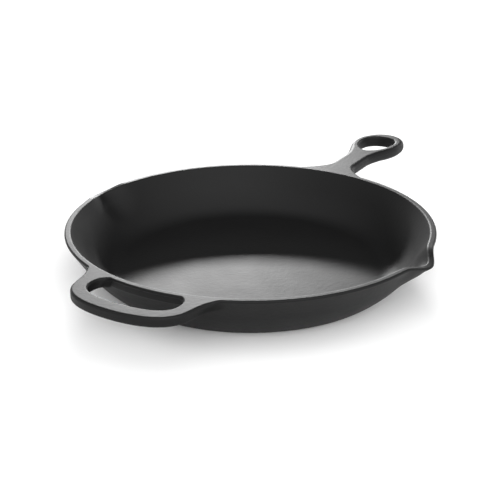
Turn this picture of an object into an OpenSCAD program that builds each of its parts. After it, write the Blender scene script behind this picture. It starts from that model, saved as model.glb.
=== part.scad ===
// Cast iron skillet: one casting, drawn as the sections that meet in it.
// The pan stands on z = 0 about the origin and the long handle runs along +X.

/* [Pan] */
// Diameter over the rim, spouts left out
rim_d = 303; // [240:1:360]
// Height of the rim above the table
pan_h = 42.5; // [34:0.5:60]
// Lean of the upper wall outward from upright, in degrees
wall_lean = 33.2; // [24:0.1:40]
// Lean of the wall where it meets the base, in degrees
foot_lean = 54; // [46:0.5:66]
// Radius of the wall's curve between the two
bowl_r = 82; // [50:1:95]
// Radius at the edge of the base
base_edge_r = 7; // [3:0.5:12]
// Radius inside the pan where the floor turns up
floor_turn_r = 14; // [6:0.5:24]
// Width of the rim from edge to edge
rim_w = 6.1; // [4:0.1:8]
// Thickness of the floor
floor_t = 5; // [3:0.1:7]
// Rounding of the rim's outer edge
rim_out_r = 1.3; // [0.4:0.1:1.6]
// Rounding of the rim's inner edge
rim_in_r = 2.1; // [0.4:0.1:3]

/* [Pour spouts] */
// How far a spout pushes the rim out
spout_reach = 7.7; // [4:0.1:14]
// Width of a spout along the rim
spout_w = 75.5; // [60:0.5:120]
// Depth below the rim where a spout runs out
spout_depth = 24.7; // [16:0.1:30]
// Depth below the rim down to which it keeps its full reach
spout_band = 12; // [3:0.5:14]
// How far the pouring lip dips
lip_dip = 4.1; // [0:0.1:5]
// Further fall of the lip toward its outer edge
lip_fall = 0.7; // [0:0.1:2.5]
// Width of the dip along the rim
lip_w = 50.5; // [20:0.5:60]
// Depth below the rim over which the dip fades out
lip_run = 12; // [6:0.5:16]
// Rounding of the spout's tip, seen from above
tip_r = 16.8; // [4:0.1:24]

/* [Long handle] */
// Distance from the pan's axis to the end of the handle
handle_end = 289; // [260:0.2:340]
// Width of the neck
neck_w = 25.5; // [16:0.5:34]
// Width across the hanging loop
loop_w = 48.6; // [40:0.2:60]
// Radius where the neck spreads into the rim
root_r = 33; // [20:1:45]
// Rounding under the neck where it meets the wall
root_cove = 4; // [0:0.5:8]
// Thickness of the neck
neck_t = 10.4; // [7:0.1:14]
// Thickness of the loop
loop_t = 11; // [7:0.1:14]
// Rounding along the neck's edges
neck_edge_r = 3.6; // [1.5:0.1:5]
// Rounding along the loop's outer edge
loop_edge_r = 6; // [1.5:0.1:7]
// Rise of the handle's top from the rim to the loop
handle_rise = 1; // [0:0.1:12]
// Length of the hanging hole
hole_l = 47.6; // [34:0.2:60]
// Width of the hanging hole
hole_w = 33; // [16:0.1:36]
// Width of the loop at its end
tip_bar = 14.7; // [8:0.1:18]
// Length of the loop's rounded end
tip_l = 28.4; // [22:0.2:34]
// Where the neck begins to widen, before the hole
widen_l = 23.5; // [15:0.5:30]
// Solid metal between the neck's end and the hole
web_l = 20.5; // [8:0.5:24]
// Rounding along the hole's edges
hole_edge_r = 2.2; // [0.5:0.1:3]

/* [Helper handle] */
// How far the helper handle stands out from the rim
helper_reach = 39.8; // [30:0.2:60]
// Width across the helper handle
helper_w = 100.4; // [80:0.2:120]
// Width of its grip bar
helper_bar = 13.2; // [8:0.1:18]
// Width of the bar at its two sides
side_bar = 12.6; // [9:0.1:18]
// Spread of the roots along the rim, beyond the handle's width
root_spread = 9; // [4:0.5:14]
// Rounding under the roots where they meet the wall
helper_cove = 3; // [0:0.5:6]
// Thickness of the helper handle
helper_t = 8; // [6:0.1:12]
// Rounding along its edges
helper_edge_r = 2; // [0.8:0.1:3]

/* [Hidden] */
$fn = 96;

function arc(c, r, a0, a1, n) = [for (i = [0:n]) let (a = mix(a0, a1, i / n)) c + r * [cos(a), sin(a)]];
function mix(a, b, t) = a + (b - a) * t;
function clamp(t) = min(1, max(0, t));
function ease(t) = let (c = clamp(t)) c * c * (3 - 2 * c);
// Straight from 0 to 1 with its two corners eased over w
function soft(t, w) = t <= -w ? 0 : t >= 1 + w ? 1
    : t < w ? pow(t + w, 2) / (4 * w)
    : t > 1 - w ? 1 - pow(1 + w - t, 2) / (4 * w)
    : t;
function inner_steps(a, b, n) = [for (i = [1:n - 1]) mix(a, b, i / n)];

// Pan section, outside: base, base edge, bowl curve, upper wall, rim
flare = tan(wall_lean);
half_turn = (90 - wall_lean) / 2;
rim_r = rim_d / 2;
edge_r = rim_r + rim_out_r * (1 / tan(half_turn) - 1);
bowl_z = base_edge_r * (1 - sin(foot_lean)) + bowl_r * (sin(foot_lean) - sin(wall_lean));
bowl_x = edge_r - (pan_h - bowl_z) * flare;
bowl_c = [bowl_x - bowl_r * cos(wall_lean), bowl_z + bowl_r * sin(wall_lean)];
base_flat_r = bowl_c[0] + (bowl_r - base_edge_r) * cos(foot_lean);
// Inside: the same curve one wall thickness in, then the floor's turn
wall_t = rim_w * cos(wall_lean);
inner_edge_r = edge_r - rim_w;
inner_bowl_r = bowl_r - wall_t;
floor_lean = asin(clamp((bowl_c[1] - floor_t - floor_turn_r) / (inner_bowl_r - floor_turn_r)));
floor_flat_r = bowl_c[0] + (inner_bowl_r - floor_turn_r) * cos(floor_lean);
floor_r = min(base_flat_r, floor_flat_r) - 0.5;

base_edge = arc([base_flat_r, base_edge_r], base_edge_r, -90, -foot_lean, 4);
outer_bowl = arc(bowl_c, bowl_r, -foot_lean, -wall_lean, 7);
outer_nose = arc([rim_r - rim_out_r, pan_h - rim_out_r], rim_out_r, -wall_lean, 90, 6);
inner_nose = arc([inner_edge_r + rim_in_r * tan(half_turn), pan_h - rim_in_r], rim_in_r, 90, 180 - wall_lean, 4);
inner_bowl = arc(bowl_c, inner_bowl_r, -wall_lean, -floor_lean, 6);
floor_turn = arc([floor_flat_r, floor_t + floor_turn_r], floor_turn_r, -floor_lean, -90, 5);

wall_section = concat(
    [[floor_r, 0]],
    base_edge,
    [for (i = [1:7]) outer_bowl[i]],
    inner_steps(outer_bowl[7], outer_nose[0], 7),
    outer_nose,
    inner_nose,
    inner_steps(inner_nose[4], inner_bowl[0], 6),
    inner_bowl,
    [for (i = [1:5]) floor_turn[i]],
    [[floor_r, floor_t]]
);

// Radius of the wall's outside at a height on its upper half
nose_low = outer_nose[0][1];
nose_z = pan_h - rim_out_r;
function outside_r(z) = z < nose_low
    ? edge_r - (pan_h - z) * flare
    : rim_r - rim_out_r + sqrt(max(0, rim_out_r * rim_out_r - pow(min(z, pan_h) - nose_z, 2)));

// Spouts
spout_half = spout_w / 2 / rim_r * 180 / PI;
spout_low = pan_h - spout_depth;
function spout_side(a) = rim_r * a * PI / 180;
function spout_rise(z) = soft((z - spout_low) / (spout_depth - spout_band), 0.25);
function spout_push(s, z) = let (
    g = spout_rise(z),
    half = spout_w / 2 * (0.6 + 0.4 * g),
    u = (norm([s, tip_r]) - tip_r) / (norm([half, tip_r]) - tip_r)
) spout_reach * g * pow(1 - clamp(u), 3);
function lip_share(s) = pow(1 - clamp(pow(2 * s / lip_w, 2)), 2);
function lip_drop(s, p) = lip_share(s) * ease((p[1] - pan_h + lip_run) / lip_run)
    * (lip_dip + lip_fall * clamp((p[0] - inner_edge_r) / rim_w));
function spout_point(p, a) = let (
    s = spout_side(a),
    r = p[0] + spout_push(s, p[1]),
    z = p[1] - lip_drop(s, p)
) [r * sin(a), r * cos(a), z];

// Skins a row of rings, all with the same number of points, and closes both ends
function skin(n, m) = [for (i = [0:n - 2]) for (j = [0:m - 1]) let (k = (j + 1) % m)
    each [[i * m + j, (i + 1) * m + j, i * m + k], [i * m + k, (i + 1) * m + j, (i + 1) * m + k]]];
function flip(fs) = [for (f = fs) [for (i = [len(f) - 1:-1:0]) f[i]]];

// A rounded bar section of half width w and half height h, its edges rounded rw across and rh down
bar_c = 6;
bar_f = 8;
bar_top = bar_c + bar_f;
bar_side = bar_c + 2;
function bar_unit() = let (q = bar_c / 2) concat(
    [for (i = [0:q]) [1, 1, 45 + 45 * i / q]],
    [for (i = [1:bar_f - 1]) [1 - 2 * i / bar_f, 1, 90]],
    [for (i = [0:bar_c]) [-1, 1, 90 + 90 * i / bar_c]],
    [[-1, 0, 180]],
    [for (i = [0:bar_c]) [-1, -1, 180 + 90 * i / bar_c]],
    [for (i = [1:bar_f - 1]) [-1 + 2 * i / bar_f, -1, 270]],
    [for (i = [0:bar_c]) [1, -1, 270 + 90 * i / bar_c]],
    [[1, 0, 360]],
    [for (i = [0:q - 1]) [1, 1, 45 * i / q]]
);
bar_round = bar_unit();
bar_n = len(bar_round);
function bar(w, h, rw, rh) = [for (b = bar_round) [b[0] * (w - rw) + rw * cos(b[2]), b[1] * (h - rh) + rh * sin(b[2])]];

// Interior points of a patch whose border is a bar section, listed row by row
function patch_inside(ring) = [for (k = [1:bar_side - 1]) for (i = [1:bar_top - 1])
    mix(ring[i], ring[bar_top + bar_side + bar_top - i], pow(k / bar_side, 1.4))];
// Index of patch point (column i, row k) when the ring starts at first and the inside at inside
function patch_id(i, k, first, inside) =
    k == 0 ? first + i
    : i == bar_top ? first + bar_top + k
    : k == bar_side ? first + bar_top + bar_side + bar_top - i
    : i == 0 ? first + (bar_n - k) % bar_n
    : inside + (k - 1) * (bar_top - 1) + i - 1;
function patch_faces(first, inside) = [for (k = [0:bar_side - 1]) for (i = [0:bar_top - 1]) let (
    a = patch_id(i, k, first, inside),
    b = patch_id(i + 1, k, first, inside),
    c = patch_id(i + 1, k + 1, first, inside),
    d = patch_id(i, k + 1, first, inside)
) each [[a, b, c], [a, c, d]]];

// Long handle
hole_start = handle_end - tip_bar - hole_l;
neck_end = hole_start - web_l;
widen_x = hole_start - widen_l;
loop_x = handle_end - tip_l;
root_x = rim_r - rim_w * 0.86;
spread_x = root_x + root_r * 0.91;
function loop_share(x) = ease((x - widen_x) / (loop_x - tip_l * 0.185 - widen_x));
function root_half(x) = neck_w / 2 + root_r - sqrt(root_r * root_r - pow(max(0, spread_x - x), 2));
function loop_half(x) = mix(neck_w / 2, loop_w / 2, loop_share(x));
function handle_half(x) = x < spread_x ? root_half(x) : loop_half(x);
function handle_top(x) = pan_h + handle_rise * ease((x - rim_r - rim_w) / (loop_x - rim_r - rim_w));
function cove(f, r) = r * pow(1 - clamp(f), 2);
function handle_t(x) = mix(neck_t, loop_t, loop_share(x)) + cove((x - root_x) / (3 * root_cove + 0.01), root_cove);
function edge_w(x) = x < spread_x
    ? mix(1.2, neck_edge_r, ease((x - root_x) / (spread_x - root_x)))
    : mix(neck_edge_r, loop_edge_r, loop_share(x));
function edge_h(x) = min(edge_w(x), handle_t(x) * 0.42);

neck_steps = 16;
function neck_section(f) = let (
    x = mix(root_x, neck_end, f),
    t = handle_t(x)
) [for (p = bar(handle_half(x), t / 2, edge_w(x), edge_h(x))) [p[0], p[1] - t / 2 + handle_top(x)]];
function on_wall(p) = sqrt(pow(outside_r(p[1]), 2) - p[0] * p[0]);
function neck_place(p, f) = [mix(on_wall([p[0], min(p[1], pan_h)]), neck_end, f), p[0], p[1]];
function neck_f(i) = pow(i / neck_steps, 1.25);
neck_rings = [for (i = [0:neck_steps]) [for (p = neck_section(neck_f(i))) neck_place(p, neck_f(i))]];
neck_patch = [for (p = patch_inside(neck_section(0))) neck_place(p, 0)];
neck_points = concat([for (r = neck_rings) each r], neck_patch);
neck_faces = concat(
    skin(neck_steps + 1, bar_n),
    patch_faces(0, (neck_steps + 1) * bar_n),
    [[for (j = [0:bar_n - 1]) (neck_steps + 1) * bar_n - 1 - j]]
);

// Hanging loop: matched points round its outside and round the hole
loop_a = 4;
loop_b = 11;
loop_n = 2 * (loop_a + 2 * loop_b + 1);
hole_x = hole_start + hole_l * 0.607;
hole_turn = 26;
neck_flat = handle_half(neck_end) - edge_w(neck_end);
function loop_outer(i) = i <= loop_a
    ? [neck_end, neck_flat * i / loop_a]
    : i <= loop_a + loop_b + 1
    ? let (x = mix(neck_end, loop_x, (i - loop_a - 1) / loop_b)) [x, loop_half(x)]
    : let (a = 90 * (i - loop_a - loop_b - 1) / loop_b)
        [loop_x + (handle_end - loop_x) * sin(a), loop_w / 2 * cos(a)];
function hole_at(a) = a <= 90
    ? [mix(hole_x, hole_start, cos(a)), hole_w / 2 * pow(sin(a), 1.18)]
    : [hole_x + (hole_start + hole_l - hole_x) * pow(max(0, -cos(a)), 0.87), hole_w / 2 * pow(max(0, sin(a)), 0.87)];
function loop_inner(i) = i <= loop_a
    ? hole_at(hole_turn * i / (loop_a + 1))
    : i <= loop_a + loop_b + 1
    ? hole_at(mix(hole_turn * loop_a / (loop_a + 1) + 4, 90, (i - loop_a - 1) / loop_b))
    : hole_at(90 + 90 * (i - loop_a - loop_b - 1) / loop_b);
loop_half_n = loop_n / 2;
function mirror_y(p) = [p[0], -p[1]];
function both(f, i) = i <= loop_half_n ? f[i] : mirror_y(f[loop_n - i]);
outer_half = [for (i = [0:loop_half_n]) loop_outer(i)];
inner_half = [for (i = [0:loop_half_n]) loop_inner(i)];
loop_out = [for (i = [0:loop_n - 1]) both(outer_half, i)];
loop_in = [for (i = [0:loop_n - 1]) both(inner_half, i)];
function unit(v) = v / norm(v);
function turn_left(v) = [-v[1], v[0]];
function on_end(i) = i <= loop_a || i >= loop_n - loop_a;
function side_way(i) = i == loop_a + 1
    ? [0, -1]
    : i == loop_n - loop_a - 1
    ? [0, 1]
    : -turn_left(unit(loop_out[(i + 1) % loop_n] - loop_out[(i + loop_n - 1) % loop_n]));
function hole_way(i) = turn_left(unit(loop_in[(i + 1) % loop_n] - loop_in[(i + loop_n - 1) % loop_n]));

loop_co = bar_c;
loop_ci = 3;
loop_m = 2 * (loop_co + loop_ci + 2);
low_j = loop_m - loop_co - 1;
function quarter(n, i) = 90 * i / n;
function edge_point(p, way, rw, rh, a, top) = let (
    q = p + way * rw * (1 - cos(a)),
    z = handle_top(q[0]),
    fall = rh * (1 - sin(a))
) [q[0], q[1], top ? z - fall : z - handle_t(q[0]) + fall];
function loop_ring(i) = let (
    x = loop_out[i][0],
    rw = on_end(i) ? 0 : edge_w(x),
    rh = on_end(i) ? 0 : edge_h(x),
    so = on_end(i) ? [1, 0] : side_way(i),
    si = hole_way(i)
) concat(
    [for (j = [0:loop_co]) edge_point(loop_out[i], so, rw, rh, quarter(loop_co, j), true)],
    [for (j = [loop_ci:-1:0]) edge_point(loop_in[i], si, hole_edge_r, hole_edge_r, quarter(loop_ci, j), true)],
    [for (j = [0:loop_ci]) edge_point(loop_in[i], si, hole_edge_r, hole_edge_r, quarter(loop_ci, j), false)],
    [for (j = [loop_co:-1:0]) edge_point(loop_out[i], so, rw, rh, quarter(loop_co, j), false)]
);
loop_points = [for (i = [0:loop_n - 1]) each loop_ring(i)];
// On the joint face the edge points of a ring fall together, so one index stands for them all
function joint_i(i) = i == loop_a ? loop_a + 1 : i == loop_n - loop_a ? loop_n - loop_a - 1 : i;
function loop_id(i, j) = let (k = i % loop_n)
    !on_end(k) ? k * loop_m + j
    : j <= loop_co ? joint_i(k) * loop_m + loop_co
    : j >= low_j ? joint_i(k) * loop_m + low_j
    : k * loop_m + j;
function distinct(f) = f[0] != f[1] && f[1] != f[2] && f[0] != f[2];
loop_all = [for (i = [0:loop_n - 1]) for (j = [0:loop_m - 1]) let (
    k = (j + 1) % loop_m,
    a = loop_id(i, j),
    b = loop_id(i + 1, j),
    c = loop_id(i + 1, k),
    d = loop_id(i, k)
) each [[a, b, d], [d, b, c]]];
loop_faces = [for (f = loop_all) if (distinct(f)) f];

// Helper handle: its outer and inner lines from the rim to the middle of the grip
function curve(p, t) = let (s = 1 - t)
    s * s * s * p[0] + 3 * s * s * t * p[1] + 3 * s * t * t * p[2] + t * t * t * p[3];
function off_rim(k) = -(rim_r + helper_reach * k);
helper_half = helper_w / 2;
grip_half = helper_half - side_bar;
grip_x = off_rim(1) + helper_bar;
root_out_y = helper_half + root_spread;
root_in_y = grip_half * 0.78;
function rim_point(y) = [-sqrt(rim_r * rim_r - y * y), y];
helper_front = [[off_rim(1), 0], [off_rim(1), helper_half * 0.47], [off_rim(0.86), helper_half * 0.9],
    [off_rim(0.37), helper_half * 0.98]];
helper_flank = [helper_front[3], [off_rim(0.14), helper_half * 1.015], [off_rim(-0.08), helper_half * 1.03],
    rim_point(root_out_y)];
grip_front = [[grip_x, 0], [grip_x, grip_half * 0.55], [mix(grip_x, off_rim(0), 0.13), grip_half],
    [off_rim(0.23), grip_half]];
grip_flank = [grip_front[3], [off_rim(0.05), grip_half], [off_rim(-0.05), grip_half * 0.93], rim_point(root_in_y)];
front_n = 8;
flank_n = 7;
helper_n = front_n + flank_n;
helper_out = concat(
    [for (i = [0:flank_n - 1]) curve(helper_flank, 1 - i / flank_n)],
    [for (i = [0:front_n]) curve(helper_front, 1 - i / front_n)]
);
helper_in = concat(
    [for (i = [0:flank_n - 1]) curve(grip_flank, 1 - i / flank_n)],
    [for (i = [0:front_n]) curve(grip_front, 1 - i / front_n)]
);
function helper_at(line, i) = i <= helper_n ? line[i] : mirror_y(line[2 * helper_n - i]);
function keep_off(q, z, k) = let (least = outside_r(z) + 0.1 * k) norm(q) < least ? q * least / norm(q) : q;
function helper_near(i) = min(i, 2 * helper_n - i);
function helper_deep(i) = helper_t + cove(helper_near(i) / 3, helper_cove);
function helper_place(p, i) = let (
    o = helper_at(helper_out, i),
    n = helper_at(helper_in, i),
    q = (o + n) / 2 + unit(o - n) * p[0],
    z = p[1] + pan_h - helper_deep(i) / 2,
    k = helper_near(i),
    w = k == 0 ? [-sqrt(pow(outside_r(z), 2) - q[1] * q[1]), q[1]] : keep_off(q, z, k)
) [w[0], w[1], z];
function helper_section(i) = let (
    w = norm(helper_at(helper_out, i) - helper_at(helper_in, i)) / 2
) bar(w, helper_deep(i) / 2, helper_edge_r, helper_edge_r);
helper_rings = 2 * helper_n + 1;
helper_points = concat(
    [for (i = [0:helper_rings - 1]) for (p = helper_section(i)) helper_place(p, i)],
    [for (p = patch_inside(helper_section(0))) helper_place(p, 0)],
    [for (p = patch_inside(helper_section(0))) helper_place(p, helper_rings - 1)]
);
helper_inside = helper_rings * bar_n;
helper_faces = concat(
    flip(skin(helper_rings, bar_n)),
    flip(patch_faces(0, helper_inside)),
    patch_faces((helper_rings - 1) * bar_n, helper_inside + (bar_top - 1) * (bar_side - 1))
);

module cooking_floor() {
    color([0.16, 0.16, 0.17])
        cylinder(r = floor_r, h = floor_t);
}

module wall(start) {
    rotate([0, 0, start])
        rotate_extrude(angle = 180 - 2 * spout_half)
            polygon(wall_section);
}

// Upright edge of the grip's opening along the rim, between the helper handle's roots
web_r = rim_r - 0.4;
web_low = pan_h - helper_t;
web_high = nose_z - 0.1;
web_turn = asin(root_in_y / rim_r) - 0.2;
web_section = concat(
    [[outside_r(web_low) - 2, web_low]],
    arc([web_r - helper_edge_r, web_low + helper_edge_r], helper_edge_r, -90, 0, 4),
    [[web_r, web_high]],
    [[outside_r(web_high) - 2, web_high]]
);
module grip_web() {
    rotate([0, 0, 180 - web_turn])
        rotate_extrude(angle = 2 * web_turn)
            polygon(web_section);
}

module handle_side_wall() {
    color([0.22, 0.22, 0.23])
        wall(spout_half - 90);
}

module helper_side_wall() {
    color([0.26, 0.26, 0.27])
        union() {
            wall(spout_half + 90);
            grip_web();
        }
}

spout_steps = 28;
module spout() {
    m = len(wall_section);
    rows = [for (i = [0:spout_steps]) [for (p = wall_section) spout_point(p, spout_half * (2 * i / spout_steps - 1))]];
    polyhedron(
        points = [for (r = rows) each r],
        faces = concat(
            skin(spout_steps + 1, m),
            [[for (j = [0:m - 1]) j]],
            [[for (j = [0:m - 1]) (spout_steps + 1) * m - 1 - j]]
        )
    );
}

module left_pour_spout() {
    color([0.34, 0.34, 0.35])
        spout();
}

module right_pour_spout() {
    color([0.34, 0.34, 0.35])
        rotate([0, 0, 180])
            spout();
}

module handle_neck() {
    color([0.3, 0.3, 0.31])
        polyhedron(points = neck_points, faces = neck_faces);
}

module hanging_loop() {
    color([0.4, 0.4, 0.41])
        polyhedron(points = loop_points, faces = loop_faces);
}

module helper_handle() {
    color([0.37, 0.37, 0.38])
        polyhedron(points = helper_points, faces = helper_faces);
}

cooking_floor();
handle_side_wall();
helper_side_wall();
left_pour_spout();
right_pour_spout();
handle_neck();
hanging_loop();
helper_handle();
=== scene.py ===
import math

import bpy
import numpy as np
from mathutils import Matrix


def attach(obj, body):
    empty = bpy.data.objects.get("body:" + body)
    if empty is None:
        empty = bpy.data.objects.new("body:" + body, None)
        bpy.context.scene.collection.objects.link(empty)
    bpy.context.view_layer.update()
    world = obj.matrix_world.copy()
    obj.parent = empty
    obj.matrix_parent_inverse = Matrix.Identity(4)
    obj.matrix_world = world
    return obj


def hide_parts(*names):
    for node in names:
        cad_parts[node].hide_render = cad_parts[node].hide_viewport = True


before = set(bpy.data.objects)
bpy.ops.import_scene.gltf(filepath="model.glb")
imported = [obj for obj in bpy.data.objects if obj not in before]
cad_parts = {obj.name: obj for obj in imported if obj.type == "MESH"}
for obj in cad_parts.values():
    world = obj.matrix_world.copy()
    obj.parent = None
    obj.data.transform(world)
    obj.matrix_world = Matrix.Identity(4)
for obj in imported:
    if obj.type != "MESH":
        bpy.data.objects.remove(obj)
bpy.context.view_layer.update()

# Sizes in millimetres. They are the CAD's, but for three that follow the photograph more closely: floor_turn_r
# and neck_edge_r are larger here, and loop_flat is the least flat that the roundings leave on the loop's bar
rim_r, pan_h = 151.5, 42.5
wall_lean, foot_lean = math.radians(33.2), math.radians(54)
bowl_r, base_edge_r, floor_turn_r = 82.0, 7.0, 24.0
rim_w, floor_t, rim_out_r, rim_in_r = 6.1, 5.0, 1.3, 2.1
spout_reach, spout_w, spout_depth, spout_band = 7.7, 75.5, 24.7, 12.0
lip_dip, lip_fall, lip_w, lip_run, tip_r = 4.1, 0.7, 50.5, 12.0, 16.8
handle_end, neck_w, loop_w, root_r, root_cove = 289.0, 25.5, 48.6, 33.0, 4.0
neck_t, loop_t, neck_edge_r, loop_edge_r, handle_rise = 10.4, 11.0, 5.2, 6.0, 1.0
hole_l, hole_w, tip_bar, tip_l, widen_l, web_l, hole_edge_r = 47.6, 33.0, 14.7, 28.4, 23.5, 20.5, 2.2
loop_flat = 2.0
helper_reach, helper_w, helper_bar, side_bar = 39.8, 100.4, 13.2, 12.6
root_spread, helper_cove, helper_t, helper_edge_r = 9.0, 3.0, 8.0, 2.0

# Shares of those sizes, as in the CAD
spout_blend, spout_foot = 0.25, 0.6
root_sink, root_turn, root_edge_r = 0.86, 0.91, 1.2
loop_ease, edge_share = 0.185, 0.42
hole_wide, hole_turn, hole_start_power, hole_end_power = 0.607, math.radians(26), 1.18, 0.87
grip_root, web_back = 0.78, 0.4

# Over these lengths the shading of a handle's root runs into the wall's: the neck's in millimetres, the helper
# handle's top and underside in steps along it
neck_blend, helper_blend, helper_low_blend = 6.0, 2.0, 16.0
nudge = 1e-3


def mix(a, b, t):
    return a + (b - a) * t


def clamp(t):
    return np.clip(t, 0.0, 1.0)


def ease(t):
    c = clamp(t)
    return c * c * (3 - 2 * c)


def soft(t, w):
    """A ramp from 0 to 1 whose two corners are rounded over w."""
    low, high = (t + w) ** 2 / (4 * w), 1 - (1 + w - t) ** 2 / (4 * w)
    s = np.where(t < w, low, np.where(t > 1 - w, high, t))
    return np.where(t <= -w, 0.0, np.where(t >= 1 + w, 1.0, s))


def unit(v):
    return v / np.maximum(np.linalg.norm(v, axis=-1, keepdims=True), 1e-12)


# Pan section: points and outward normals, from the base round over the rim to the floor
half_turn = (math.pi / 2 - wall_lean) / 2
flare = math.tan(wall_lean)
edge_r = rim_r + rim_out_r * (1 / math.tan(half_turn) - 1)
nose_c = np.array([rim_r - rim_out_r, pan_h - rim_out_r])
bowl_z = base_edge_r * (1 - math.sin(foot_lean)) + bowl_r * (math.sin(foot_lean) - math.sin(wall_lean))
bowl_x = edge_r - (pan_h - bowl_z) * flare
bowl_c = np.array([bowl_x - bowl_r * math.cos(wall_lean), bowl_z + bowl_r * math.sin(wall_lean)])
base_flat_r = bowl_c[0] + (bowl_r - base_edge_r) * math.cos(foot_lean)
wall_t = rim_w * math.cos(wall_lean)
inner_edge_r = edge_r - rim_w
inner_bowl_r = bowl_r - wall_t
floor_lean = math.asin((bowl_c[1] - floor_t - floor_turn_r) / (inner_bowl_r - floor_turn_r))
floor_flat_r = bowl_c[0] + (inner_bowl_r - floor_turn_r) * math.cos(floor_lean)
floor_r = min(base_flat_r, floor_flat_r) - 0.5
nose_low = nose_c[1] - rim_out_r * math.sin(wall_lean)


def outside_r(z):
    """The pan's outer radius at heights on its wall or rim."""
    edge = nose_c[0] + np.sqrt(np.maximum(0, rim_out_r ** 2 - (np.minimum(z, pan_h) - nose_c[1]) ** 2))
    return np.where(z < nose_low, edge_r - (pan_h - z) * flare, edge)


def outside_n(p):
    """The pan's outward normals beside points at its wall or rim."""
    z = np.minimum(p[:, 2], pan_h)
    rise = np.where(z < nose_low, -math.sin(wall_lean), np.clip((z - nose_c[1]) / rim_out_r, -1, 1))
    return np.column_stack([unit(p[:, :2]) * np.sqrt(1 - rise ** 2)[:, None], rise])


def pan_section():
    points, normals = [], []
    wall_n = np.array([math.cos(wall_lean), -math.sin(wall_lean)])

    def arc(c, r, a0, a1, n, side=1.0):
        for a in np.linspace(a0, a1, n + 1):
            d = np.array([math.cos(a), math.sin(a)])
            points.append(np.asarray(c) + r * d)
            normals.append(side * d)

    def line(to, n, normal):
        start = points[-1]
        for t in np.linspace(0, 1, n + 1)[1:-1]:
            points.append(mix(start, np.asarray(to), t))
            normals.append(np.array(normal))

    q = math.pi / 2
    points.append(np.array([floor_r, 0.0]))
    normals.append(np.array([0.0, -1.0]))
    line([base_flat_r, 0], 4, [0, -1])
    arc([base_flat_r, base_edge_r], base_edge_r, -q, -foot_lean, 10)
    points.pop(), normals.pop()
    arc(bowl_c, bowl_r, -foot_lean, -wall_lean, 22)
    line(nose_c + rim_out_r * wall_n, 26, wall_n)
    arc(nose_c, rim_out_r, -wall_lean, q, 12)
    inner_c = np.array([inner_edge_r + rim_in_r * math.tan(half_turn), pan_h - rim_in_r])
    line(inner_c + [0, rim_in_r], 3, [0, 1])
    arc(inner_c, rim_in_r, q, math.pi - wall_lean, 12)
    line(bowl_c + inner_bowl_r * wall_n, 24, -wall_n)
    arc(bowl_c, inner_bowl_r, -wall_lean, -floor_lean, 18, -1.0)
    points.pop(), normals.pop()
    arc([floor_flat_r, floor_t + floor_turn_r], floor_turn_r, -floor_lean, -q, 12, -1.0)
    points.append(np.array([floor_r, floor_t]))
    normals.append(np.array([0.0, 1.0]))
    return np.array(points), np.array(normals)


section, section_n = pan_section()

# Spouts
spout_half = spout_w / 2 / rim_r
spout_low = pan_h - spout_depth


def spout_point(r, z, a):
    """The pan section's point (r, z) at angle a from the spout's middle, which is +Y, pushed out and dipped."""
    s = rim_r * a
    g = soft((z - spout_low) / (spout_depth - spout_band), spout_blend)
    half = spout_w / 2 * mix(spout_foot, 1, g)
    u = (np.hypot(s, tip_r) - tip_r) / (np.hypot(half, tip_r) - tip_r)
    push = spout_reach * g * (1 - clamp(u)) ** 3
    share = (1 - clamp((2 * s / lip_w) ** 2)) ** 2
    dip = lip_dip + lip_fall * clamp((r - inner_edge_r) / rim_w)
    drop = share * ease((z - pan_h + lip_run) / lip_run) * dip
    q = r + push
    return np.stack([q * np.sin(a), q * np.cos(a), z - drop], -1)


# Long handle
hole_start = handle_end - tip_bar - hole_l
neck_end = hole_start - web_l
widen_x = hole_start - widen_l
loop_x = handle_end - tip_l
root_x = rim_r - rim_w * root_sink
spread_x = root_x + root_r * root_turn
hole_x = hole_start + hole_l * hole_wide


def loop_share(x):
    return ease((x - widen_x) / (loop_x - tip_l * loop_ease - widen_x))


def handle_half(x):
    root = neck_w / 2 + root_r - np.sqrt(root_r ** 2 - np.maximum(0, spread_x - x) ** 2)
    return np.where(x < spread_x, root, mix(neck_w / 2, loop_w / 2, loop_share(x)))


def handle_top(x):
    return pan_h + handle_rise * ease((x - rim_r - rim_w) / (loop_x - rim_r - rim_w))


def cove(f, r):
    return r * (1 - clamp(f)) ** 2


def handle_t(x):
    return mix(neck_t, loop_t, loop_share(x)) + cove((x - root_x) / (3 * root_cove), root_cove)


def edge_w(x):
    root = mix(root_edge_r, neck_edge_r, ease((x - root_x) / (spread_x - root_x)))
    return np.where(x < spread_x, root, mix(neck_edge_r, loop_edge_r, loop_share(x)))


def edge_h(x):
    return np.minimum(edge_w(x), handle_t(x) * edge_share)


def bar_unit(corner, flat, side):
    """Which corner and what angle each point of a rounded bar section has: over the top, down, back, and up."""
    rows = [(1, 1, a) for a in np.linspace(0, 90, corner + 1)]
    rows += [(mix(1, -1, i / flat), 1, 90.0) for i in range(1, flat)]
    rows += [(-1, 1, a) for a in np.linspace(90, 180, corner + 1)]
    rows += [(-1, mix(1, -1, i / side), 180.0) for i in range(1, side)]
    rows += [(-1, -1, a) for a in np.linspace(180, 270, corner + 1)]
    rows += [(mix(-1, 1, i / flat), -1, 270.0) for i in range(1, flat)]
    rows += [(1, -1, a) for a in np.linspace(270, 360, corner + 1)]
    rows += [(1, mix(-1, 1, i / side), 0.0) for i in range(1, side)]
    return np.array(rows, float)


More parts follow.
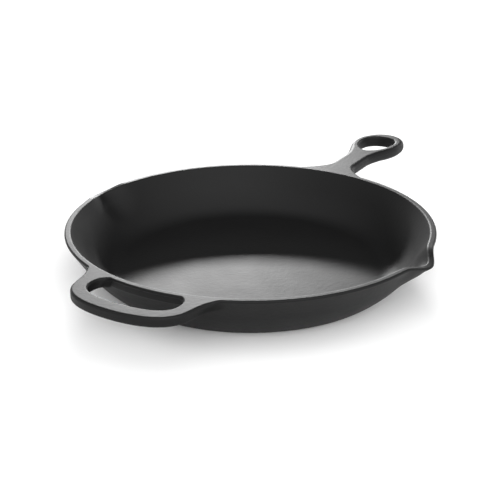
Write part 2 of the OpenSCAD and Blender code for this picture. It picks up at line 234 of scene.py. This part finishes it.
def bar_patch(units, side, ring, start, place):
    """Inner points and faces that close a bar's root on the wall: columns from its top to its underside."""
    n = len(units)
    top, inner = n // 2 - side + 1, side - 1
    points, columns = [], []
    for c in range(top):
        a, b = c, n - inner - 1 - c
        if c == 0:
            mid = [n - 1 - i for i in range(inner)]
        elif c == top - 1:
            mid = [top + i for i in range(inner)]
        else:
            rows = [mix(ring[a], ring[b], (i + 1) / side) for i in range(inner)]
            mid = [n + len(points) + i for i in range(inner)]
            points += rows
        columns.append([a, *mid, b])
    placed = place(np.array(points))
    ids = [[v if v < n else start + v - n for v in col] for col in columns]
    faces = []
    for one, two in zip(ids, ids[1:]):
        faces += [[one[i], two[i], two[i + 1], one[i + 1]] for i in range(len(one) - 1)]
    return placed, faces


def bar(units, w, h, rw, rh):
    """Points of the section, and the directions along it."""
    a = np.radians(units[:, 2])
    p = np.stack([units[:, 0] * (w - rw) + rw * np.cos(a), units[:, 1] * (h - rh) + rh * np.sin(a)], -1)
    n = unit(np.stack([np.cos(a) * rh, np.sin(a) * rw], -1))
    return p, np.stack([-n[:, 1], n[:, 0]], -1)


def neck_place(p, f):
    """Section points (across, up) at share f of the way from the wall to the neck's end."""
    z = np.minimum(p[:, 1], pan_h)
    x = np.sqrt(np.maximum(outside_r(z) ** 2 - p[:, 0] ** 2, 1.0))
    return np.stack([mix(x, neck_end, f), p[:, 0], p[:, 1]], -1)


def neck_section(units, f):
    x = mix(root_x, neck_end, f)
    t = float(handle_t(x))
    p, along = bar(units, float(handle_half(x)), t / 2, float(edge_w(x)), float(edge_h(x)))
    return p + [0, float(handle_top(x)) - t / 2], along


def neck_ring(units, f):
    def at(f, move=0.0):
        p, along = neck_section(units, f)
        return neck_place(p + move * along, f)

    forward = at(min(1.0, f + nudge)) - at(max(0.0, f - nudge))
    round_it = at(f, nudge) - at(f, -nudge)
    here = at(f)
    near = 1 - ease(f * (neck_end - root_x) / neck_blend)
    return here, unit(mix(unit(np.cross(round_it, forward)), outside_n(here), near))


# Helper handle
helper_half = helper_w / 2
grip_half = helper_half - side_bar


def off_rim(k):
    return -(rim_r + helper_reach * k)


def rim_point(y):
    return np.array([-math.sqrt(rim_r ** 2 - y ** 2), y])


# Curves of half the handle's outline and of half its opening, each from the tip to the flank and on to the wall
grip_x = off_rim(1) + helper_bar
root_out, root_in = rim_point(helper_half + root_spread), rim_point(grip_half * grip_root)
helper_front = np.array([[off_rim(1), 0], [off_rim(1), helper_half * 0.47],
                         [off_rim(0.86), helper_half * 0.9], [off_rim(0.37), helper_half * 0.98]])
helper_flank = np.array([helper_front[3], [off_rim(0.14), helper_half * 1.015],
                         [off_rim(-0.08), helper_half * 1.03], root_out])
grip_front = np.array([[grip_x, 0], [grip_x, grip_half * 0.55],
                       [mix(grip_x, off_rim(0), 0.13), grip_half], [off_rim(0.23), grip_half]])
grip_flank = np.array([grip_front[3], [off_rim(0.05), grip_half],
                       [off_rim(-0.05), grip_half * 0.93], root_in])
flank_n, front_n = 7, 8
helper_n = flank_n + front_n


def curve(p, t):
    s = 1 - t
    return s ** 3 * p[0] + 3 * s * s * t * p[1] + 3 * s * t * t * p[2] + t ** 3 * p[3]


def helper_line(front, flank, u):
    """The point u steps along a half outline, from the wall to the tip."""
    return curve(flank, 1 - u / flank_n) if u < flank_n else curve(front, 1 - (u - flank_n) / front_n)


def wall_shift(y, z):
    """How far the wall lies from the straight line between a root's two ends, at a height."""
    y = np.clip(y, root_in[1], root_out[1])
    chord = mix(root_in[0], root_out[0], (y - root_in[1]) / (root_out[1] - root_in[1]))
    return -np.sqrt(outside_r(z) ** 2 - y ** 2) - chord


def helper_ring(units, u):
    def at(u, move=0.0):
        v = min(u, 2 * helper_n - u)
        o, n = helper_line(helper_front, helper_flank, v), helper_line(grip_front, grip_flank, v)
        deep = helper_t + float(cove(v / 3, helper_cove))
        p, along = bar(units, np.linalg.norm(o - n) / 2, deep / 2, helper_edge_r, helper_edge_r)
        p = p + move * along
        z = p[:, 1] + pan_h - deep / 2
        q = (o + n) / 2 + np.outer(p[:, 0], unit(o - n))
        keep = 1 - ease(v / 2.2)
        q[:, 0] += keep * wall_shift(q[:, 1], z)
        reach = np.linalg.norm(q, axis=1)
        least = outside_r(z) + 0.1 * min(v, 1.0)
        q *= np.maximum(1, least / reach)[:, None]
        if u > helper_n:
            q[:, 1] *= -1
        return np.column_stack([q, z])

    forward = at(min(2.0 * helper_n, u + nudge)) - at(max(0.0, u - nudge))
    if u == helper_n:
        forward = np.tile([0.0, -1.0, 0.0], (len(units), 1))
    round_it = at(u, nudge) - at(u, -nudge)
    here = at(u)
    v = min(u, 2 * helper_n - u)
    own, wall = unit(np.cross(forward, round_it)), outside_n(here)
    low = clamp((pan_h - helper_t / 4 - here[:, 2]) / (helper_t / 2))
    low *= clamp(2 * np.sum(own * wall, axis=1))
    near = (1 - ease(v / mix(helper_blend, helper_low_blend, low)))[:, None]
    return here, unit(mix(own, wall, near))


# Meshes
def make(name, points, faces, normals, caps=()):
    """A closed mesh in metres. normals has a row per point; the caps, listed after the other faces, are flat."""
    mesh = bpy.data.meshes.new(name)
    mesh.from_pydata((np.asarray(points) * 0.001).tolist(), [], [list(map(int, f)) for f in [*faces, *caps]])
    mesh.validate()
    mesh.polygons.foreach_set("use_smooth", np.ones(len(mesh.polygons), bool))
    corner = []
    flat_from = len(faces)
    normals = np.asarray(normals)
    for p in mesh.polygons:
        if p.index < flat_from:
            corner += [normals[v] for v in p.vertices]
        else:
            corner += [np.array(p.normal)] * len(p.vertices)
    mesh.normals_split_custom_set([tuple(map(float, c)) for c in corner])
    mesh.update()
    obj = bpy.data.objects.new(name, mesh)
    bpy.context.scene.collection.objects.link(obj)
    return obj


def grid_faces(rows, cols, closed_cols, flip=False):
    faces = []
    for i in range(rows - 1):
        for j in range(cols if closed_cols else cols - 1):
            k = (j + 1) % cols
            f = [i * cols + j, (i + 1) * cols + j, (i + 1) * cols + k, i * cols + k]
            faces.append(f[::-1] if flip else f)
    return faces


def ring_caps(rows, cols, flip=False):
    first, last = list(range(cols)), [(rows - 1) * cols + j for j in range(cols)]
    return [first[::-1], last] if flip else [first, last[::-1]]


def seat_faces(rows, cols):
    return [[i * cols + cols - 1, (i + 1) * cols + cols - 1, (i + 1) * cols, i * cols] for i in range(rows - 1)]


def web_section():
    """The pan section with the upright edge that it has along the grip's opening."""
    shape, lie = section.copy(), section_n.copy()
    low, r, web_r = pan_h - helper_t, helper_edge_r, rim_r - web_back
    for i in range(int(np.argmax(section[:, 0]))):
        x, z = section[i]
        drop = max(0.0, low + r - z)
        if z < low or x > web_r:
            continue
        run = math.sqrt(r * r - drop * drop)
        if x < web_r - r + run:
            shape[i, 0] = web_r - r + run
            lie[i] = run / r, -drop / r
    return shape, lie


def wall_piece(name, start, stop, steps, web=0.0):
    angles = np.linspace(start, stop, steps + 1)
    m = len(section)
    points, normals = [], []
    for a in angles:
        c, s = math.cos(a), math.sin(a)
        shape, lie = web_section() if abs(a - math.pi) < web else (section, section_n)
        points.append(np.column_stack([shape[:, 0] * c, shape[:, 0] * s, shape[:, 1]]))
        normals.append(np.column_stack([lie[:, 0] * c, lie[:, 0] * s, lie[:, 1]]))
    return make(name, np.concatenate(points), grid_faces(steps + 1, m, False), np.concatenate(normals),
                seat_faces(steps + 1, m) + ring_caps(steps + 1, m))


def spout_piece(name, turn, steps=88):
    m = len(section)
    r, z = section.T
    dr, dz = nudge * np.array([-section_n[:, 1], section_n[:, 0]])
    da = nudge / rim_r
    points, normals = [], []
    for a in np.linspace(spout_half, -spout_half, steps + 1):
        across = spout_point(r, z, a - da) - spout_point(r, z, a + da)
        up = spout_point(r + dr, z + dz, a) - spout_point(r - dr, z - dz, a)
        points.append(spout_point(r, z, a))
        normals.append(unit(np.cross(across, up)))
    points, normals = np.concatenate(points), np.concatenate(normals)
    c, s = math.cos(turn), math.sin(turn)
    rot = np.array([[c, -s, 0], [s, c, 0], [0, 0, 1]])
    return make(name, points @ rot.T, grid_faces(steps + 1, m, False), normals @ rot.T,
                seat_faces(steps + 1, m) + ring_caps(steps + 1, m))


def floor_piece(name):
    spokes = 192
    radii = [8, 20, 34, 48, 62, 76, 90, 102, floor_r]
    turn = np.linspace(0, 2 * math.pi, spokes, endpoint=False)
    points, normals, faces, caps = [], [], [], []
    for z, n in ((floor_t, 1.0), (0.0, -1.0)):
        points.append([0, 0, z])
        normals.append([0, 0, n])
        for r in radii:
            points += [[r * math.cos(t), r * math.sin(t), z] for t in turn]
            normals += [[0, 0, n]] * spokes
    size = 1 + len(radii) * spokes
    for base, flip in ((0, False), (size, True)):
        for k in range(spokes):
            n = (k + 1) % spokes
            fs = [[base, base + 1 + k, base + 1 + n]]
            for i in range(len(radii) - 1):
                a, b = base + 1 + i * spokes, base + 1 + (i + 1) * spokes
                fs.append([a + k, b + k, b + n, a + n])
            faces += [f[::-1] if flip else f for f in fs]
    edge = 1 + (len(radii) - 1) * spokes
    for k in range(spokes):
        n = (k + 1) % spokes
        caps.append([edge + k, size + edge + k, size + edge + n, edge + n])
    return make(name, points, faces, normals, caps)


def neck_piece(name):
    units, side, steps = bar_unit(10, 20, 8), 8, 44
    rings = [neck_ring(units, f) for f in np.linspace(0, 1, steps + 1) ** 1.25]
    m = len(units)
    total = (steps + 1) * m
    inner, root = bar_patch(units, side, neck_section(units, 0.0)[0], total, lambda p: neck_place(p, 0.0))
    end = [[total - m + j for j in range(m)]]
    points = [r[0] for r in rings] + [inner]
    normals = [r[1] for r in rings] + [np.tile([-1.0, 0, 0], (len(inner), 1))]
    return make(name, np.concatenate(points), grid_faces(steps + 1, m, True, flip=True), np.concatenate(normals),
                [f[::-1] for f in root] + end)


def loop_piece(name):
    """A ring of sections round the hole: a_n steps on half the end face, b_n on each stretch of a side, and
    co and ci steps over the outer edge and the hole's."""
    a_n, b_n, co, ci = 6, 40, 14, 8
    flat = float(handle_half(neck_end) - edge_w(neck_end))

    def outer(i):
        if i <= a_n:
            return np.array([neck_end, flat * i / a_n])
        if i <= a_n + b_n + 1:
            x = mix(neck_end, loop_x, (i - a_n - 1) / b_n)
            return np.array([x, float(handle_half(x))])
        a = math.pi / 2 * (i - a_n - b_n - 1) / b_n
        return np.array([loop_x + (handle_end - loop_x) * math.sin(a), loop_w / 2 * math.cos(a)])

    def hole_at(a):
        s, c = max(0.0, math.sin(a)), math.cos(a)
        if a <= math.pi / 2:
            return np.array([mix(hole_x, hole_start, c), hole_w / 2 * s ** hole_start_power])
        x = mix(hole_x, hole_start + hole_l, max(0.0, -c) ** hole_end_power)
        return np.array([x, hole_w / 2 * s ** hole_end_power])

    def inner(i):
        if i <= a_n:
            return hole_at(hole_turn * i / (a_n + 1))
        if i <= a_n + b_n + 1:
            first = hole_turn * a_n / (a_n + 1) + math.radians(4)
            return hole_at(mix(first, math.pi / 2, (i - a_n - 1) / b_n))
        return hole_at(math.pi / 2 * (1 + (i - a_n - b_n - 1) / b_n))

    half = a_n + 2 * b_n + 1
    n = 2 * half
    mirror = np.array([1, -1])
    outs = [outer(i) if i <= half else outer(n - i) * mirror for i in range(n)]
    ins = [inner(i) if i <= half else inner(n - i) * mirror for i in range(n)]

    def way(line, i, turn):
        d = unit(line[(i + 1) % n] - line[(i - 1) % n])
        return turn * np.array([d[1], -d[0]])

    def on_end(i):
        return i <= a_n or i >= n - a_n

    points, normals = [], []
    m = 2 * (co + ci + 2)
    for i in range(n):
        x0 = outs[i][0]
        rw, rh = (0.0, 0.0) if on_end(i) else (float(edge_w(x0)), float(edge_h(x0)))
        if on_end(i):
            so = np.array([1.0, 0.0])
        elif i == a_n + 1:
            so = np.array([0.0, -1.0])
        elif i == n - a_n - 1:
            so = np.array([0.0, 1.0])
        else:
            so = way(outs, i, 1.0)
        si = way(ins, i, -1.0)
        bar_w = float(np.min(np.linalg.norm(np.array(ins) - outs[i], axis=1)))
        rw = min(rw, bar_w - hole_edge_r - loop_flat)
        for p, d, w, h, angles, top in (
            (outs[i], so, rw, rh, np.linspace(0, 90, co + 1), 1),
            (ins[i], si, hole_edge_r, hole_edge_r, np.linspace(90, 0, ci + 1), 1),
            (ins[i], si, hole_edge_r, hole_edge_r, np.linspace(0, 90, ci + 1), -1),
            (outs[i], so, rw, rh, np.linspace(90, 0, co + 1), -1),
        ):
            for a in np.radians(angles):
                q = p + d * w * (1 - math.cos(a))
                z = float(handle_top(q[0]))
                fall = h * (1 - math.sin(a))
                points.append([q[0], q[1], z - fall if top > 0 else z - float(handle_t(q[0])) + fall])
                slope = float(handle_top(q[0] + 0.5) - handle_top(q[0] - 0.5))
                up = unit(np.array([-slope, 0, 1.0])) * top
                flat_n = np.array([*(-d), 0.0])
                if w == 0:
                    normals.append(up)
                else:
                    normals.append(unit(flat_n * math.cos(a) * h + up * math.sin(a) * w))
    low = m - co - 1

    def joint(i):
        return a_n + 1 if i == a_n else n - a_n - 1 if i == n - a_n else i

    def index(i, j):
        i %= n
        if not on_end(i):
            return i * m + j
        if j <= co:
            return joint(i) * m + co
        if j >= low:
            return joint(i) * m + low
        return i * m + j

    faces, caps = [], []
    for i in range(n):
        for j in range(m):
            k = (j + 1) % m
            f = [index(i, k), index(i + 1, k), index(i + 1, j), index(i, j)]
            f = [v for t, v in enumerate(f) if v != f[t - 1]]
            if len(f) < 3:
                continue
            at_joint = all(points[v][0] < neck_end + 1e-6 for v in f)
            (caps if at_joint else faces).append(f)
    used = np.unique([v for f in faces + caps for v in f])
    new = np.full(len(points), -1)
    new[used] = np.arange(len(used))
    return make(name, np.array(points)[used], [[new[v] for v in f] for f in faces], np.array(normals)[used],
                [[new[v] for v in f] for f in caps])


def helper_piece(name):
    units, side = bar_unit(8, 18, 8), 8
    fine = np.concatenate([np.linspace(0, 2, 13), np.linspace(2, helper_n, 53)[1:]])
    steps = np.concatenate([fine, (2 * helper_n - fine)[::-1][1:]])
    rings = [helper_ring(units, float(u)) for u in steps]
    m = len(units)
    total = len(steps) * m
    flat = np.column_stack([rings[0][0][:, 1], rings[0][0][:, 2]])

    def on_wall(p):
        return np.column_stack([-np.sqrt(outside_r(p[:, 1]) ** 2 - p[:, 0] ** 2), p])

    inner, root = bar_patch(units, side, flat, total, on_wall)
    last = {j: total - m + j for j in range(m)}
    mirrored = [[last.get(v, v + len(inner)) for v in f][::-1] for f in root]
    points = [r[0] for r in rings] + [inner, inner * [1, -1, 1]]
    normals = [r[1] for r in rings] + [np.tile([1.0, 0, 0], (2 * len(inner), 1))]
    return make(name, np.concatenate(points), grid_faces(len(steps), m, True), np.concatenate(normals),
                root + mirrored)


wall_half = math.pi / 2 - spout_half
web_half = math.asin(root_in[1] / rim_r) + 0.02
pieces = {
    "cooking_floor": floor_piece("floor_disc"),
    "handle_side_wall": wall_piece("wall_at_handle", -wall_half, wall_half, 150),
    "helper_side_wall": wall_piece("wall_at_helper", math.pi - wall_half, math.pi + wall_half, 150, web_half),
    "left_pour_spout": spout_piece("spout_left", 0.0),
    "right_pour_spout": spout_piece("spout_right", math.pi),
    "handle_neck": neck_piece("neck"),
    "hanging_loop": loop_piece("loop"),
    "helper_handle": helper_piece("helper_loop"),
}


# Satin black iron
def iron():
    mat = bpy.data.materials.new("satin_black_iron")
    mat.use_nodes = True
    nodes, links = mat.node_tree.nodes, mat.node_tree.links
    nodes.clear()
    out = nodes.new("ShaderNodeOutputMaterial")
    skin = nodes.new("ShaderNodeBsdfPrincipled")
    links.new(skin.outputs["BSDF"], out.inputs["Surface"])
    place = nodes.new("ShaderNodeTexCoord")

    def noise(scale, detail, rough):
        n = nodes.new("ShaderNodeTexNoise")
        n.inputs["Scale"].default_value = scale
        n.inputs["Detail"].default_value = detail
        n.inputs["Roughness"].default_value = rough
        links.new(place.outputs["Object"], n.inputs["Vector"])
        return n

    def bump(source, strength, distance):
        n = nodes.new("ShaderNodeBump")
        n.inputs["Strength"].default_value = strength
        n.inputs["Distance"].default_value = distance
        links.new(source.outputs["Fac"], n.inputs["Height"])
        return n

    cloud, grain, sand = noise(38, 4, 0.6), noise(1500, 2, 0.5), noise(330, 3, 0.55)
    tint = nodes.new("ShaderNodeMix")
    tint.data_type = "RGBA"
    tint.inputs["A"].default_value = (0.0020, 0.0020, 0.0021, 1)
    tint.inputs["B"].default_value = (0.0032, 0.0032, 0.0033, 1)
    links.new(cloud.outputs["Fac"], tint.inputs["Factor"])
    links.new(tint.outputs["Result"], skin.inputs["Base Color"])
    shine = nodes.new("ShaderNodeMapRange")
    for socket, value in {"From Min": 0.3, "From Max": 0.7, "To Min": 0.525, "To Max": 0.555}.items():
        shine.inputs[socket].default_value = value
    links.new(cloud.outputs["Fac"], shine.inputs["Value"])
    links.new(shine.outputs["Result"], skin.inputs["Roughness"])
    skin.inputs["Specular IOR Level"].default_value = 0.21
    skin.inputs["IOR"].default_value = 1.5
    fine, coarse = bump(grain, 0.10, 0.0002), bump(sand, 0.22, 0.0006)
    links.new(fine.outputs["Normal"], coarse.inputs["Normal"])
    links.new(coarse.outputs["Normal"], skin.inputs["Normal"])
    return mat


black = iron()
for node, piece in pieces.items():
    piece.data.materials.append(black)
    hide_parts(node)
    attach(piece, "root")

# Camera at the photograph's viewing angle
eye = np.array([-0.681485, -0.400591, 0.351180])
tilt, turn = 0.400136, 1.038881
ahead = np.array([math.sin(turn) * math.cos(tilt), math.cos(turn) * math.cos(tilt), -math.sin(tilt)])
right = np.array([math.cos(turn), -math.sin(turn), 0.0])
above = np.cross(right, ahead)
lens = bpy.data.cameras.new("camera")
lens.lens = 74.097
lens.sensor_width = 36
lens.clip_start, lens.clip_end = 0.02, 50
camera = bpy.data.objects.new("camera", lens)
camera.matrix_world = Matrix([[right[k], above[k], -ahead[k], eye[k]] for k in range(3)] + [[0, 0, 0, 1]])
bpy.context.scene.collection.objects.link(camera)
bpy.context.scene.camera = camera

# Floor, a hair under the base
wide = 40
ground = bpy.data.meshes.new("ground")
ground.from_pydata([(-wide, -wide, 0), (wide, -wide, 0), (wide, wide, 0), (-wide, wide, 0)], [], [(0, 1, 2, 3)])
floor = bpy.data.objects.new("ground", ground)
floor.location.z = -0.0001
bpy.context.scene.collection.objects.link(floor)
white = bpy.data.materials.new("white_floor")
white.use_nodes = True
nodes, links = white.node_tree.nodes, white.node_tree.links
nodes.clear()
out = nodes.new("ShaderNodeOutputMaterial")
matte = nodes.new("ShaderNodeBsdfDiffuse")
matte.inputs["Color"].default_value = (0.96, 0.96, 0.96, 1)
links.new(matte.outputs[0], out.inputs["Surface"])
ground.materials.append(white)


# Light. Azimuths count from straight behind the pan, as the camera sees it, to the right
def toward(azimuth, elevation):
    a, e = turn + math.radians(azimuth), math.radians(elevation)
    return np.array([math.sin(a) * math.cos(e), math.cos(a) * math.cos(e), math.sin(e)])


def softbox(name, azimuth, elevation, distance, width, height, power):
    """A lamp facing the pan, in degrees, metres and watts."""
    light = bpy.data.lights.new(name, "AREA")
    light.shape = "RECTANGLE"
    light.size, light.size_y = width, height
    light.energy = power
    lamp = bpy.data.objects.new(name, light)
    d = toward(azimuth, elevation)
    side = unit(np.cross([0, 0, 1.0], d))
    top = np.cross(d, side)
    at = d * distance + [0, 0, 0.02]
    lamp.matrix_world = Matrix([[side[k], top[k], d[k], at[k]] for k in range(3)] + [[0, 0, 0, 1]])
    lamp.visible_camera = False
    bpy.context.scene.collection.objects.link(lamp)


softbox("back_lamp", -4.3, 14.9, 20, 5.0, 1.0, 3170)
softbox("right_lamp", 40, 8, 4, 1.4, 0.6, 19)
softbox("left_lamp", -40, 8, 4, 1.4, 0.6, 12)

# A studio that is softly lit round the front and sides, and dark behind but for a faint glow: azimuth, elevation
# and spread in degrees, and level
soft_light = [
    (-3, 22, 6, 0.85),
    (180, 18, 24, 3.05),
    (135, 18, 24, 2.05),
    (95, 18, 24, 1.0),
    (-95, 18, 24, 0.63),
    (178, 45, 14, 1.2),
    (-100, 40, 18, 0.76),
    (-105, 70, 20, 1.3),
    (105, 70, 20, 1.38),
]
world = bpy.data.worlds.new("room")
bpy.context.scene.world = world
world.use_nodes = True
nodes, links = world.node_tree.nodes, world.node_tree.links
nodes.clear()


def math_node(kind, *values):
    """A math node whose inputs are numbers or other nodes' outputs; its output."""
    n = nodes.new("ShaderNodeMath")
    n.operation = kind
    for socket, v in zip(n.inputs, values):
        if isinstance(v, (int, float)):
            socket.default_value = v
        else:
            links.new(v, socket)
    return n.outputs[0]


place = nodes.new("ShaderNodeTexCoord").outputs["Generated"]
dimmest, horizon = 0.02, 0.05
level = dimmest
for azimuth, elevation, spread, most in soft_light:
    near = nodes.new("ShaderNodeVectorMath")
    near.operation = "DOT_PRODUCT"
    near.inputs[1].default_value = toward(azimuth, elevation)
    links.new(place, near.inputs[0])
    k = 1 / math.radians(spread) ** 2
    fall = math_node("MULTIPLY_ADD", near.outputs["Value"], k, math.log(most) - k)
    level = math_node("ADD", math_node("EXPONENT", fall), level)
room = nodes.new("ShaderNodeBackground")
links.new(level, room.inputs["Strength"])
# Beyond the floor the camera sees white, and so does gloss down at the horizon
bright = nodes.new("ShaderNodeBackground")
bright.inputs["Color"].default_value = (1, 1, 1, 1)
bright.inputs["Strength"].default_value = 1.0
split = nodes.new("ShaderNodeSeparateXYZ")
links.new(place, split.inputs[0])
path = nodes.new("ShaderNodeLightPath")
mirrored = math_node("MAXIMUM", path.outputs["Is Glossy Ray"], path.outputs["Is Transmission Ray"])
at_horizon = math_node("MULTIPLY", mirrored, math_node("LESS_THAN", split.outputs["Z"], horizon))
pick = nodes.new("ShaderNodeMixShader")
links.new(math_node("MAXIMUM", path.outputs["Is Camera Ray"], at_horizon), pick.inputs["Fac"])
links.new(room.outputs[0], pick.inputs[1])
links.new(bright.outputs[0], pick.inputs[2])
out = nodes.new("ShaderNodeOutputWorld")
links.new(pick.outputs[0], out.inputs["Surface"])

bpy.context.scene.view_settings.view_transform = "Standard"
